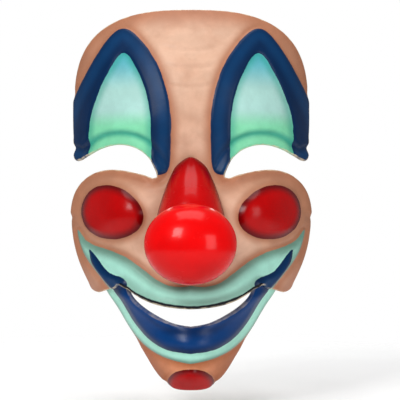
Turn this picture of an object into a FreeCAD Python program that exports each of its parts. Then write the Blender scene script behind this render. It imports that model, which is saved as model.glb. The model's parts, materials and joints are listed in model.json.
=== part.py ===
import FreeCAD, Part
import math
import os

# A clown face mask with a hinged jaw, a hollow nose and two elastic head straps.
#
# Frame: -Y is the way the face looks, +Z is up, and +X is the wearer's left. The origin
# is midway between the wearer's eyes. Millimetres.
#
# Every moulded wall is cut from one face form: a slab between two depths below the form's
# surface, trimmed to an outline drawn in the front view (x, z).

V = FreeCAD.Vector

# ---------------------------------------------------------------- driving dimensions
TOP = 120.0            # highest point of the forehead edge
BOTTOM = -175.0        # lowest point of the chin edge
BROW_HALF = 93.0       # half width across the forehead lobes
CHEEK_HALF = 95.0      # half width across the cheeks
SIDE_Y = 85.0          # where the face form's sides would stand square to the front
WALL = 2.2             # moulded wall
JAW_DEPTH = 4.2        # how far the jaw's outer skin lies under the face's outer skin
JAW_WALL = 2.2
GLUE = 0.15            # bonded faces stand this far apart

HINGE_Y, HINGE_Z = 31.0, -78.0     # jaw hinge axis, along X
PIN_R, PIN_HOLE_R = 2.5, 2.56
BOSS_R = 7.5
PIN_TIP_X = 65.5
BOSS_INNER_X = 71.0
PUSH_NUT_R, PUSH_NUT_T = 5.5, 1.0

NOSE_Z = -60.0         # centre of the nose ball
SEAT_Y = -44.0         # flat front of the nose bridge, where the ball sits
BALL_RX, BALL_RY, BALL_RZ = 34.0, 27.0, 30.0
BALL_Y = -64.0
NOSE_WALL = 2.2
NECK_R = 11.8
NECK_HOLE_R = 12.0

BAND_X = 80.0          # half width of the strap loop, to the middle of the band
BAND_T = 1.2
BAND_H = 22.0
BAND_BACK_Y = 108.0    # where the loop's straight sides end and its back arc starts
TEMPLE_Z, CHEEK_Z = 43.0, -45.0
BAR_R = 1.1
BAR_Y = 38.0
RETURN_END_Y = 104.0   # end of the doubled stretch that the adjuster slides on
SLIDER_Y = 76.0

RUBBER_W = 3.0         # width of the jaw's rubber rings
CUP_BACK_Y = 0.0       # back of the chin cup's rim


# ---------------------------------------------------------------- the face form
def smooth(knots):
    """A smooth function through (position, value) knots, with Hermite tangents."""
    ps = [k[0] for k in knots]
    vs = [k[1] for k in knots]
    n = len(knots)

    def slope(i):
        a, b = max(i - 1, 0), min(i + 1, n - 1)
        return (vs[b] - vs[a]) / (ps[b] - ps[a])

    def value(p):
        p = min(max(p, ps[0]), ps[-1])
        i = max(j for j in range(n - 1) if ps[j] <= p) if p > ps[0] else 0
        h = ps[i + 1] - ps[i]
        t = (p - ps[i]) / h
        return ((2 * t**3 - 3 * t**2 + 1) * vs[i] + (t**3 - 2 * t**2 + t) * h * slope(i)
                + (3 * t**2 - 2 * t**3) * vs[i + 1] + (t**3 - t**2) * h * slope(i + 1))

    return value


# depth of the face's middle line, and half width of the form, against height
front_line = smooth([(-190, 4), (-172, -9), (-150, -24), (-125, -25), (-100, -26), (-60, -21),
                     (-25, -17), (0, -13), (25, -17), (60, -16), (95, -4), (118, 10), (132, 22)])
half_width = smooth([(-190, 38), (-172, 44), (-150, 54), (-125, 69), (-100, 86), (-75, 98),
                     (-45, 102), (0, 102), (132, 101)])

# rounded swellings: (height, x, z, reach in x, reach in z), each repeated at -x
SWELLINGS = [
    (12.0, 55, -36, 25, 21),     # cheek
    (6.0, 0, -98, 40, 17),       # upper lip
    (4.0, 50, -82, 20, 14),      # muzzle beside the nose
    (4.5, 53, 31, 27, 15),       # brow over the eye
    (6.0, 0, -136, 30, 11),      # lower lip
    (8.0, 0, -163, 19, 12),      # chin
]


def face_y(x, z):
    """Depth of the outer skin at a point of the front view."""
    front = front_line(z)
    t = min(abs(x) / half_width(z), 0.9995)
    y = SIDE_Y - (SIDE_Y - front) * math.sqrt(1 - t * t)
    for height, cx, cz, rx, rz in SWELLINGS:
        for side in ((1, -1) if cx else (1,)):
            y -= height * math.exp(-((x - side * cx) / rx) ** 2 - ((z - cz) / rz) ** 2)
    return y


def under_skin(x, z, depth):
    """The point that lies depth below the outer skin, square to it."""
    e = 0.5
    dx = (face_y(x + e, z) - face_y(x - e, z)) / (2 * e)
    dz = (face_y(x, z + e) - face_y(x, z - e)) / (2 * e)
    length = math.sqrt(1 + dx * dx + dz * dz)
    return V(x - depth * dx / length, face_y(x, z) + depth / length, z - depth * dz / length)


SIDE_ANGLE = 80.0      # the form is drawn to this angle either side of the middle line
COLUMNS, ROWS = 36, 40
FORM_LOW, FORM_HIGH = BOTTOM - 9, TOP + 9


def skin(depth):
    """The face form's surface at one depth, as a single spline face."""
    rows = []
    for j in range(ROWS + 1):
        z = FORM_LOW + (FORM_HIGH - FORM_LOW) * j / ROWS
        angles = [math.radians(SIDE_ANGLE * (2 * i / COLUMNS - 1)) for i in range(COLUMNS + 1)]
        rows.append([under_skin(half_width(z) * math.sin(a), z, depth) for a in angles])
    surface = Part.BSplineSurface()
    surface.interpolate(rows)
    return surface.toShape()


def boundary(face):
    """The four edges of a spline face in a fixed order: two along x, two along z."""
    surface = face.Surface
    u0, u1, v0, v1 = surface.bounds()
    return [surface.vIso(v0).toShape(), surface.vIso(v1).toShape(),
            surface.uIso(u0).toShape(), surface.uIso(u1).toShape()]


SKINS = {}


def slab(outline, top, bottom):
    """The material between two depths of the face form, trimmed to a front-view outline."""
    for depth in (top, bottom):
        if depth not in SKINS:
            SKINS[depth] = skin(depth)
    if (top, bottom) not in SKINS:
        a, b = SKINS[top], SKINS[bottom]
        sides = [Part.makeRuledSurface(p, q) for p, q in zip(boundary(a), boundary(b))]
        shell = Part.makeShell([a, b] + sides)
        shell.sewShape()
        solid = Part.makeSolid(Part.Shell(shell.Faces))
        if solid.Volume < 0:
            solid.reverse()
        SKINS[(top, bottom)] = solid
    return SKINS[(top, bottom)].common(prism(outline))


def behind(depth):
    """Everything behind the face form's surface at one depth."""
    if depth not in SKINS:
        SKINS[depth] = skin(depth)
    return SKINS[depth].extrude(V(0, 260, 0))


# ---------------------------------------------------------------- front-view outlines
def spline(points):
    curve = Part.BSplineCurve()
    curve.interpolate([V(x, 0, z) for x, z in points])
    return curve.toShape()


def half_outline(runs):
    """A closed wire from the right half's runs of points, middle line to middle line."""
    right = [spline(r) for r in runs]
    left = [spline([(-x, z) for x, z in r]) for r in runs]
    return Part.Wire(Part.__sortEdges__(right + left))


def ring_outline(points, both_sides=False):
    """A smooth closed wire through points, or through the right half's and their mirrors."""
    if both_sides:
        points = points + [(-x, z) for x, z in reversed(points) if x > 0]
    curve = Part.BSplineCurve()
    curve.interpolate([V(x, 0, z) for x, z in points], PeriodicFlag=True)
    return Part.Wire([curve.toShape()])


def prism(wire):
    block = Part.Face(wire)
    block.translate(V(0, -150, 0))
    return block.extrude(V(0, 400, 0))


def mirrored(shape):
    return shape.mirror(V(0, 0, 0), V(1, 0, 0))


CROWN_Z = 45.0         # where the forehead's top curve starts
CROWN_POWER = 2.8


def crown():
    """The forehead's top curve, a quarter of a superellipse, from the middle to the side."""
    points = []
    for i in range(9):
        a = math.radians(90 * i / 8)
        x = BROW_HALF * math.sin(a) ** (2 / CROWN_POWER)
        z = CROWN_Z + (TOP - CROWN_Z) * max(math.cos(a), 0) ** (2 / CROWN_POWER)
        points.append((x, z))
    return points


def face_outline():
    return half_outline([
        crown() + [(92.6, 25), (91, 9)],
        [(91, 9), (89, 4.6), (85, 5)],
        [(85, 5), (71, 12.5), (55, 16), (40, 12.5), (29.5, 3), (25, -7)],
        [(25, -7), (25.6, -10.6), (29, -11.4)],
        [(29, -11.4), (45, -7), (62, -5), (78, -9), (90, -20), (CHEEK_HALF, -36), (94, -58),
         (88.5, -77), (81, -93)],
        [(81, -93), (78.3, -98), (73, -99.5)],
        [(73, -99.5), (57, -93.5)],
        [(57, -93.5), (53, -90.4), (49, -92.5)],
        [(49, -92.5), (36, -101), (18, -106.5), (0, -108)],
    ])


def jaw_outline():
    return half_outline([
        [(0, BOTTOM), (13, BOTTOM + 1), (25, BOTTOM + 7), (37, -152), (51, -129), (63, -108),
         (72, -95)],
        [(72, -95), (79, -90), (84, -83), (85, -76), (82, -70)],
        [(82, -70), (76, -68.5), (70, -72)],
        [(70, -72), (66, -79), (60, -87), (54, -93), (47, -103), (32, -115), (15, -122),
         (0, -124)],
    ])


def nose_hole():
    return ring_outline([(0, -4), (7, -9), (12, -25), (17, -45), (19, -62), (12, -75), (0, -79)],
                        both_sides=True)


# ---------------------------------------------------------------- shells
def face_shell():
    return slab(face_outline(), 0.0, WALL).cut(prism(nose_hole()))


def along_x(radius, x0, x1, y, z):
    low, high = min(x0, x1), max(x0, x1)
    return Part.makeCylinder(radius, high - low, V(low, y, z), V(1, 0, 0))


def jaw_shell():
    """Lower lip and chin, with an ear each side that turns on the hinge pin."""
    jaw = slab(jaw_outline(), JAW_DEPTH, JAW_DEPTH + JAW_WALL)
    boss = along_x(BOSS_R, BOSS_INNER_X, 95, HINGE_Y, HINGE_Z).common(behind(JAW_DEPTH))
    hook = elastic_post(*JAW_POST, JAW_DEPTH + JAW_WALL - 0.6)
    for add in (boss, hook):
        jaw = jaw.fuse([add, mirrored(add)])
    hole = along_x(PIN_HOLE_R, 50, 100, HINGE_Y, HINGE_Z)
    return jaw.cut(Part.makeCompound([hole, mirrored(hole)]))


# ---------------------------------------------------------------- jaw hinge and its elastics
FACE_POST = (72.0, -50.0)   # y is worked out; these are the post's x and z in the front view
JAW_POST = (62.5, -92.0)
POST_R, POST_HEAD_R, POST_HEAD_T = 2.0, 3.4, 1.2
POST_TIP_X = 51.0


def post_y(x, z):
    return under_skin(x, z, WALL).y + 5


def elastic_post(x, z, root_depth):
    """A headed peg along X, from the wall it grows out of to the shared tip plane."""
    y = post_y(x, z)
    peg = along_x(POST_R, POST_TIP_X, 100, y, z).common(behind(root_depth))
    return peg.fuse(along_x(POST_HEAD_R, POST_TIP_X, POST_TIP_X + POST_HEAD_T, y, z))


def face_post():
    return elastic_post(*FACE_POST, WALL + GLUE)


def hinge_stud():
    """A bonded foot on the cheek's inner wall, with the pin that carries the jaw's ear."""
    foot = along_x(4.6, 60, 100, HINGE_Y, HINGE_Z)
    foot = foot.common(behind(WALL + GLUE)).cut(behind(WALL + GLUE + 0.9))
    pin = along_x(PIN_R, PIN_TIP_X, 100, HINGE_Y, HINGE_Z).common(behind(WALL + GLUE))
    return foot.fuse(pin).removeSplitter()


def push_nut():
    """A spring-steel push nut that keeps the ear on its pin."""
    x = BOSS_INNER_X - 0.5 - PUSH_NUT_T
    disc = along_x(PUSH_NUT_R, x, x + PUSH_NUT_T, HINGE_Y, HINGE_Z)
    return disc.cut(along_x(PIN_R + 0.02, x - 1, x + PUSH_NUT_T + 1, HINGE_Y, HINGE_Z))


def jaw_elastic():
    """A flat rubber ring stretched over the two posts."""
    (xa, za), (xb, zb) = FACE_POST, JAW_POST
    a = V(0, post_y(xa, za), za)
    b = V(0, post_y(xb, zb), zb)
    inner, outer = POST_R + 0.1, POST_R + 1.3
    along = (b - a).normalize()
    across = V(0, -along.z, along.y)
    rings = []
    for r in (outer, inner):
        p1, p2 = a + across * r, b + across * r
        p3, p4 = b - across * r, a - across * r
        edges = [Part.LineSegment(p1, p2).toShape(),
                 Part.Arc(p2, b + along * r, p3).toShape(),
                 Part.LineSegment(p3, p4).toShape(),
                 Part.Arc(p4, a - along * r, p1).toShape()]
        rings.append(Part.Face(Part.Wire(edges)))
    ring = rings[0].cut(rings[1])
    ring.translate(V(POST_TIP_X + POST_HEAD_T + 0.4, 0, 0))
    return ring.extrude(V(RUBBER_W, 0, 0))


# ---------------------------------------------------------------- nose
def nose_body(shrink, low_cut):
    """The bridge's solid form: a lofted ridge that widens into the seat of the ball."""
    stations = [(5, 10, 5), (-5, 15, 11), (-18, 20, 20), (-34, 25, 28), (-50, 28, 34),
                (-62, 28, 36), (-74, 24, 30), (-83, 15, 16)]
    sections = []
    for z, half, rise in stations:
        centre = V(0, face_y(0, z) + 10, z)
        across, out = half - shrink, rise + 10 - shrink
        points = []
        for i in range(16):
            a = 2 * math.pi * i / 16
            points.append(centre + V(across * math.sin(a), -out * math.cos(a), 0))
        curve = Part.BSplineCurve()
        curve.interpolate(points, PeriodicFlag=True)
        sections.append(Part.Wire([curve.toShape()]))
    form = Part.makeLoft(sections, True, False)
    room = Part.makeBox(200, 200, 400, V(-100, low_cut, -200))
    return form.common(room)


def in_front(depth):
    if depth not in SKINS:
        SKINS[depth] = skin(depth)
    return SKINS[depth].extrude(V(0, -160, 0))


def nose_bridge():
    body = nose_body(0.0, SEAT_Y).cut(nose_body(NOSE_WALL, SEAT_Y + NOSE_WALL))
    body = body.common(in_front(-GLUE))
    neck = Part.makeCylinder(NECK_HOLE_R, 20, V(0, SEAT_Y - 5, NOSE_Z), V(0, 1, 0))
    body = body.cut(neck)
    return max(body.Solids, key=lambda s: s.Volume)


def ellipsoid(rx, ry, rz, centre):
    ball = Part.makeSphere(1.0)
    matrix = FreeCAD.Matrix()
    matrix.scale(rx, ry, rz)
    ball = ball.transformGeometry(matrix)
    ball.translate(centre)
    return ball


NECK_END_Y = SEAT_Y + NOSE_WALL + 4.5


def nose_ball():
    """A sealed hollow ball with a flat seat at the back and a blind neck for the bridge."""
    centre = V(0, BALL_Y, NOSE_Z)
    seat = SEAT_Y - GLUE
    behind_seat = Part.makeBox(100, 100, 100, V(-50, seat, NOSE_Z - 50))
    behind_room = Part.makeBox(100, 100, 100, V(-50, seat - NOSE_WALL, NOSE_Z - 50))
    outer = ellipsoid(BALL_RX, BALL_RY, BALL_RZ, centre).cut(behind_seat)
    room = ellipsoid(BALL_RX - NOSE_WALL, BALL_RY - NOSE_WALL, BALL_RZ - NOSE_WALL, centre)
    room = room.cut(behind_room)
    neck_start = seat - NOSE_WALL
    neck = Part.makeCylinder(NECK_R, NECK_END_Y - neck_start, V(0, neck_start, NOSE_Z), V(0, 1, 0))
    blind = Part.makeCylinder(NECK_R - NOSE_WALL, NECK_END_Y - neck_start - NOSE_WALL + 1,
                              V(0, neck_start - 1, NOSE_Z), V(0, 1, 0))
    return outer.fuse(neck).removeSplitter().cut(room.fuse(blind).removeSplitter())


def nose_ring():
    """The snap ring behind the bridge's seat that keeps the ball's neck in."""
    y = SEAT_Y + NOSE_WALL + 0.15
    ring = Part.makeCylinder(NECK_R + 3.2, 1.8, V(0, y, NOSE_Z), V(0, 1, 0))
    return ring.cut(Part.makeCylinder(NECK_R + 0.05, 4, V(0, y - 1, NOSE_Z), V(0, 1, 0)))


# ---------------------------------------------------------------- foam
PAD_TOP = WALL + GLUE


def forehead_pad():
    outline = ring_outline([(0, 99), (28, 97), (48, 89), (54, 79), (46, 70), (26, 66), (0, 65)],
                           both_sides=True)
    return slab(outline, PAD_TOP, PAD_TOP + 7)


def cheek_pad():
    outline = ring_outline([(50, -22), (62, -20), (72, -26), (74, -36), (66, -43), (52, -44),
                            (44, -36), (43, -27)])
    return slab(outline, PAD_TOP, PAD_TOP + 7)


def chin_cup():
    """A foam pad that fills the jaw's chin and is hollowed for the wearer's own chin."""
    outline = ring_outline([(0, -138), (15, -138), (27, -143), (28, -151), (20, -160), (0, -165)],
                           both_sides=True)
    pad = behind(JAW_DEPTH + JAW_WALL + GLUE).common(prism(outline))
    pad = pad.cut(Part.makeBox(200, 300, 200, V(-100, CUP_BACK_Y, -250)))
    chin = ellipsoid(21, 22, 11.5, V(0, CUP_BACK_Y + 8, -151.5))
    return pad.cut(chin)


# ---------------------------------------------------------------- straps
BAND_OUT_X = BAND_X + BAND_T / 2
LOOP_R = BAR_R + 0.2 + BAND_T                  # outside of the band where it wraps the bar
BAR_X = BAND_X - BAND_T / 2 + LOOP_R
RETURN_X = BAR_X + LOOP_R - BAND_T             # inner face of the returning layer


def flat_ring(outer, inner, x, y):
    ring = Part.makeCylinder(outer, BAND_H, V(x, y, -BAND_H / 2))
    return ring.cut(Part.makeCylinder(inner, BAND_H, V(x, y, -BAND_H / 2)))


def band_layer(x, y0, y1):
    return Part.makeBox(BAND_T, y1 - y0, BAND_H, V(x, y0, -BAND_H / 2))


def strap(height):
    """The elastic band: a loop round each bar, straight sides and a round back."""
    outer = BAND_X + BAND_T / 2
    inner = BAND_X - BAND_T / 2
    back = Part.makeCylinder(outer, BAND_H, V(0, BAND_BACK_Y, -BAND_H / 2))
    back = back.cut(Part.makeCylinder(inner, BAND_H, V(0, BAND_BACK_Y, -BAND_H / 2)))
    back = back.cut(Part.makeBox(300, 200, 60, V(-150, BAND_BACK_Y - 200, -30)))
    turn = flat_ring(LOOP_R, LOOP_R - BAND_T, BAR_X, BAR_Y)
    turn = turn.cut(Part.makeBox(20, 20, 60, V(BAR_X - 10, BAR_Y, -30)))
    side = band_layer(inner, BAR_Y, BAND_BACK_Y)
    long_return = band_layer(RETURN_X, BAR_Y, RETURN_END_Y)
    short_return = band_layer(RETURN_X, BAR_Y, BAR_Y + 14)
    band = back.fuse([turn, side, long_return, mirrored(turn), mirrored(side),
                      mirrored(short_return)])
    band = band.removeSplitter()
    band.translate(V(0, 0, height))
    return band


def footman_loop(height):
    """A moulded foot bonded inside the rim, with two ears and the bar the band turns on."""
    reach = BAND_H / 2 + 4
    outline = Part.makePolygon([V(x, 0, z) for x, z in (
        (77, height - reach), (89.5, height - reach), (89.5, height + reach),
        (77, height + reach), (77, height - reach))])
    foot = slab(outline, PAD_TOP, PAD_TOP + 1.8)
    loop = foot
    for z in (height - BAND_H / 2 - 3.4, height + BAND_H / 2 + 0.8):
        ear = Part.makeBox(12, 9, 2.6, V(BAR_X - 2.6, BAR_Y - 6, z))
        loop = loop.fuse(ear.common(behind(PAD_TOP)))
    bar = Part.makeCylinder(BAR_R, BAND_H + 4, V(BAR_X, BAR_Y, height - BAND_H / 2 - 2))
    return loop.fuse(bar).removeSplitter()


def adjuster(height):
    """A three-bar slide: two rails, a middle bar between the layers and two outer bars."""
    depth = 18.0
    y0 = SLIDER_Y - depth / 2
    low_x, high_x = BAND_X - BAND_T / 2 - 0.4, RETURN_X + BAND_T + 2.0
    rail_z = BAND_H / 2 + 0.6
    rails = [Part.makeBox(high_x - low_x, depth, 2.6, V(low_x, y0, z))
             for z in (rail_z, -rail_z - 2.6)]
    gap = RETURN_X - BAND_OUT_X
    middle = Part.makeBox(gap - 0.6, 6, 2 * rail_z + 2,
                          V(BAND_OUT_X + 0.3, SLIDER_Y - 3, -rail_z - 1))
    outers = [Part.makeBox(1.6, 4, 2 * rail_z + 2, V(RETURN_X + BAND_T + 0.4, y, -rail_z - 1))
              for y in (y0, y0 + depth - 4)]
    body = rails[0].fuse(rails[1:] + [middle] + outers).removeSplitter()
    body.translate(V(0, 0, height))
    return body


# ---------------------------------------------------------------- build and export
def build():
    stud, nut, rubber, post = hinge_stud(), push_nut(), jaw_elastic(), face_post()
    pad = cheek_pad()
    temple, cheek = footman_loop(TEMPLE_Z), footman_loop(CHEEK_Z)
    return {
        "face_shell": face_shell(),
        "jaw_shell": jaw_shell(),
        "nose_bridge": nose_bridge(),
        "nose_ball": nose_ball(),
        "nose_snap_ring": nose_ring(),
        "hinge_stud_left": stud,
        "hinge_stud_right": mirrored(stud),
        "push_nut_left": nut,
        "push_nut_right": mirrored(nut),
        "elastic_post_left": post,
        "elastic_post_right": mirrored(post),
        "jaw_elastic_left": rubber,
        "jaw_elastic_right": mirrored(rubber),
        "forehead_pad": forehead_pad(),
        "cheek_pad_left": pad,
        "cheek_pad_right": mirrored(pad),
        "chin_cup": chin_cup(),
        "temple_loop_left": temple,
        "temple_loop_right": mirrored(temple),
        "cheek_loop_left": cheek,
        "cheek_loop_right": mirrored(cheek),
        "temple_strap": strap(TEMPLE_Z),
        "cheek_strap": strap(CHEEK_Z),
        "temple_adjuster": adjuster(TEMPLE_Z),
        "cheek_adjuster": adjuster(CHEEK_Z),
    }


def main():
    os.makedirs("parts", exist_ok=True)
    for name, shape in build().items():
        solids = shape.Solids
        print(f"{name}: {len(solids)} solid(s), {shape.Volume / 1000:.2f} cm3, "
              f"valid {shape.isValid()}")
        shape = solids[0] if len(solids) == 1 else Part.makeCompound(solids)
        shape.exportStep(f"parts/{name}.step")


main()
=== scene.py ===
import json
import math

import bmesh
import bpy
import numpy as np
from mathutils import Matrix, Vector
from mathutils.geometry import delaunay_2d_cdt

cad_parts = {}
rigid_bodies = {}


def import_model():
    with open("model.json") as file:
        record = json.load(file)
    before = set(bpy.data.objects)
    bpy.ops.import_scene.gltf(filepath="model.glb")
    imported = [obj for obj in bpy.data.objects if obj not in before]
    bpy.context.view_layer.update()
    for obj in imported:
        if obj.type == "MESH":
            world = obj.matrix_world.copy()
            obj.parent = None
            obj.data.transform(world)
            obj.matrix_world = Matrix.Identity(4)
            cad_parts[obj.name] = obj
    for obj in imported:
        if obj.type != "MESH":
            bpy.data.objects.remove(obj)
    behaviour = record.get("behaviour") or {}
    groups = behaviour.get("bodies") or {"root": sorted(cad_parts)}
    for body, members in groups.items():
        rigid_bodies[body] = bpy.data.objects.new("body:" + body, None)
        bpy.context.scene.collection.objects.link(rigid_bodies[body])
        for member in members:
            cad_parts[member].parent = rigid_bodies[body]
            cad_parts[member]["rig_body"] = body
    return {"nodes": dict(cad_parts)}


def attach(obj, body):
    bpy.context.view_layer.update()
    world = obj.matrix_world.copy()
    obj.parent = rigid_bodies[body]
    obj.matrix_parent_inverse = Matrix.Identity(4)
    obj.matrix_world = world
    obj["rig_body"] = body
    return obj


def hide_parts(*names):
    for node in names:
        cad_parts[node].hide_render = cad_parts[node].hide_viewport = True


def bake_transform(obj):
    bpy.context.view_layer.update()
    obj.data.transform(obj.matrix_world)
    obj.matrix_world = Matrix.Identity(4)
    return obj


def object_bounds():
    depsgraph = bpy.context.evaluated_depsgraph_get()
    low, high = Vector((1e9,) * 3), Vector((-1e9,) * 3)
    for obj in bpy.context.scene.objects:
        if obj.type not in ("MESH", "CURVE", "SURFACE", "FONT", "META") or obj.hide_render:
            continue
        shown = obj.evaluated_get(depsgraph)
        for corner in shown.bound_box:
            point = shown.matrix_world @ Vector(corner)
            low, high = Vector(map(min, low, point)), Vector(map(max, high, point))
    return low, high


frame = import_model()
cad_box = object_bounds()

# A painted latex clown mask: moulded face and jaw, glossy nose, foam, elastic and hardware.
# The forms below are worked out in millimetres, as in the CAD part, and MM turns them into
# metres when a mesh is made. "Front view" means (x, z), seen along +Y.
MM = 0.001

WALL = 2.2               # moulded wall of the face
JAW_DEPTH = 4.2          # the jaw's outer skin lies this far under the face's
JAW_WALL = 2.2
STEP = 1.35              # spacing of a moulded shell's vertices
ROW_SHARE = 0.866        # height of a row in an even triangle grid, as a share of STEP
EDGE_ROOM = 0.55         # the grid keeps this share of STEP clear of the outline
GAP = 0.15               # left between pieces that touch
CHUNK = 8000             # points measured at once, to spare memory

HINGE_Y, HINGE_Z = 31.0, -78.0
EAR_R, EAR_HOLE_R, EAR_INNER_X, PIN_HOLE_R = 7.5, 4.6, 71.0, 2.56
FACE_POST = (12.4, -50.0)    # y, z of the two pegs that each rubber ring goes round
JAW_POST = (9.37, -92.0)
POST_R, HEAD_R, POST_TIP_X, RUBBER_X = 2.0, 3.4, 51.0, 54.1
RING_WIDTH, RING_THICK, RING_POINTS = 3.0, 1.2, 240
SEAT_Y = -44.0           # where the nose ball sits on its bridge
NOSE_Z = -60.0
BALL = (34.0, 27.0, 30.0)
BALL_Y = -64.0

BAND_X, BAND_T, BAND_H = 80.0, 1.2, 22.0
BAND_BACK_Y = 108.0
STRAP_HEIGHTS = {"temple": 43.0, "cheek": -45.0}
BAR_X, BAR_Y, TURN_R = 81.9, 38.0, 1.9
RETURN_X = 83.8          # middle of the band's returning layer
RETURN_END_Y = 104.0
SIDES = ("left", 1), ("right", -1)


# ---- small helpers
def smooth(knots):
    """A smooth function through (position, value) knots, for arrays."""
    ps, vs = np.array(knots, float).T
    last = len(ps) - 1
    lower = np.maximum(np.arange(last + 1) - 1, 0)
    upper = np.minimum(np.arange(last + 1) + 1, last)
    slopes = (vs[upper] - vs[lower]) / (ps[upper] - ps[lower])

    def value(p):
        p = np.clip(p, ps[0], ps[-1])
        i = np.clip(np.searchsorted(ps, p, side="right") - 1, 0, last - 1)
        h = ps[i + 1] - ps[i]
        t = (p - ps[i]) / h
        return ((2 * t**3 - 3 * t**2 + 1) * vs[i] + (t**3 - 2 * t**2 + t) * h * slopes[i]
                + (3 * t**2 - 2 * t**3) * vs[i + 1] + (t**3 - t**2) * h * slopes[i + 1])

    return value


def rise(value, low, high):
    """0 below low, 1 above high, and a soft step between."""
    t = np.clip((value - low) / (high - low), 0, 1)
    return t * t * (3 - 2 * t)


def ridge(value, centre, reach):
    """A rounded ridge, 1 at its centre."""
    return np.exp(-((value - centre) / reach) ** 2)


def lengths(points):
    """How far along a polyline each of its points lies."""
    return np.concatenate([[0], np.cumsum(np.linalg.norm(np.diff(points, axis=0), axis=1))])


def evenly(curve, count=None):
    """A closed curve sampled again at even spacing: STEP, unless a count is given."""
    curve = np.vstack([curve, curve[:1]])
    s = lengths(curve)
    at = np.linspace(0, s[-1], (count or int(s[-1] / STEP)) + 1)[:-1]
    return np.stack([np.interp(at, s, curve[:, k]) for k in (0, 1)], -1)


def wound(curve, clockwise=False):
    """A closed curve, turned if need be to run the asked way round."""
    x, z = curve.T
    area = (x * np.roll(z, -1) - np.roll(x, -1) * z).sum()
    return curve[::-1] if (area > 0) == clockwise else curve


def through(points, closed=False, step=1.0):
    """A cubic spline through given points, sampled about every step."""
    p = np.array(points, float)
    if closed:
        p = np.vstack([p, p[:1]])
    t = lengths(p)
    n, h = len(p), np.diff(t)
    system, right = np.zeros((n, n)), np.zeros((n, 2))
    for i in range(1, n - 1):
        system[i, i - 1:i + 2] = h[i - 1], 2 * (h[i - 1] + h[i]), h[i]
        right[i] = 6 * ((p[i + 1] - p[i]) / h[i] - (p[i] - p[i - 1]) / h[i - 1])
    if closed:
        system[0, 0], system[0, -1] = 1, -1
        system[-1, [0, 1, -2, -1]] = 2 * h[0], h[0], h[-1], 2 * h[-1]
        right[-1] = 6 * ((p[1] - p[0]) / h[0] - (p[-1] - p[-2]) / h[-1])
    else:
        system[0, 0] = system[-1, -1] = 1
    bend = np.linalg.solve(system, right)
    count = max(int(t[-1] / step), 2)
    s = np.linspace(0, t[-1], count + 1)[:count + (not closed)]
    i = np.clip(np.searchsorted(t, s, side="right") - 1, 0, n - 2)
    a, b = ((t[i + 1] - s) / h[i])[:, None], ((s - t[i]) / h[i])[:, None]
    k = (h[i] ** 2 / 6)[:, None]
    return a * p[i] + b * p[i + 1] + k * ((a**3 - a) * bend[i] + (b**3 - b) * bend[i + 1])


def from_curve(points, curve, closed=True):
    """Distance from front-view points to a curve: positive inside a closed one."""
    a, b = curve, np.roll(curve, -1, axis=0)
    if not closed:
        a, b = a[:-1], b[:-1]
    ab = b - a
    length2 = np.maximum((ab * ab).sum(1), 1e-12)
    slant = ab[:, 0] / np.where(ab[:, 1] == 0, 1e-12, ab[:, 1])
    out = np.empty(len(points))
    for start in range(0, len(points), CHUNK):
        p = points[start:start + CHUNK]
        along = p @ ab.T - (a * ab).sum(1)
        t = np.clip(along / length2, 0, 1)
        from_a2 = (p * p).sum(1)[:, None] + (a * a).sum(1) - 2 * p @ a.T
        d = np.sqrt(np.maximum((from_a2 - 2 * t * along + t * t * length2).min(1), 0))
        if closed:
            x, z = p[:, :1], p[:, 1:]
            crosses = (a[:, 1] > z) != (b[:, 1] > z)
            inside = (crosses & (x < a[:, 0] + (z - a[:, 1]) * slant)).sum(1) % 2
            d = np.where(inside == 1, d, -d)
        out[start:start + CHUNK] = d
    return out


# ---- the face form
front_line = smooth([(-190, 4), (-172, -9), (-150, -24), (-125, -25), (-100, -26), (-60, -21),
                     (-25, -17), (0, -13), (25, -17), (60, -16), (95, -4), (118, 10), (132, 22)])
half_width = smooth([(-190, 38), (-172, 44), (-150, 54), (-125, 69), (-100, 86), (-75, 98),
                     (-45, 102), (0, 102), (132, 101)])
SIDE_Y = 85.0
SWELLINGS = [(12.0, 55, -36, 25, 21), (6.0, 0, -98, 40, 17), (4.0, 50, -82, 20, 14),
             (4.5, 53, 31, 27, 15), (6.0, 0, -136, 30, 11), (8.0, 0, -163, 19, 12)]


def face_y(x, z):
    t = np.minimum(np.abs(x) / half_width(z), 0.9995)
    y = SIDE_Y - (SIDE_Y - front_line(z)) * np.sqrt(1 - t * t)
    for height, cx, cz, rx, rz in SWELLINGS:
        for side in ((1, -1) if cx else (1,)):
            y = y - height * np.exp(-((x - side * cx) / rx) ** 2 - ((z - cz) / rz) ** 2)
    return y


def outward(x, z):
    """The form's outward normals."""
    e = 0.5
    dx = (face_y(x + e, z) - face_y(x - e, z)) / (2 * e)
    dz = (face_y(x, z + e) - face_y(x, z - e)) / (2 * e)
    n = np.stack([dx, -np.ones_like(dx), dz], -1)
    return n / np.linalg.norm(n, axis=-1, keepdims=True)


def under_skin(x, z, depth):
    """Points that lie depth below the form's surface, square to it."""
    surface = np.stack([x, face_y(x, z), z], -1)
    return surface - outward(x, z) * np.reshape(depth, (-1, 1))


def unroll(points):
    """Front view to a flat layout in which the steep sides keep their width."""
    w = half_width(points[:, 1])
    return np.stack([w * np.arcsin(np.clip(points[:, 0] / w, -1, 1)), points[:, 1]], -1)


def roll_up(points):
    w = half_width(points[:, 1])
    return np.stack([w * np.sin(points[:, 0] / w), points[:, 1]], -1)


# ---- outlines
CROWN_X, CROWN_FOOT_Z, CROWN_RISE, CROWN_POWER = 93, 45, 75, 2 / 2.8


def crown():
    """The right half of the top edge, between a circle and a rounded square."""
    angles = np.radians(np.linspace(0, 90, 9))
    x = CROWN_X * np.sin(angles) ** CROWN_POWER
    z = CROWN_FOOT_Z + CROWN_RISE * np.maximum(np.cos(angles), 0) ** CROWN_POWER
    return [tuple(p) for p in np.stack([x, z], -1)]


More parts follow.
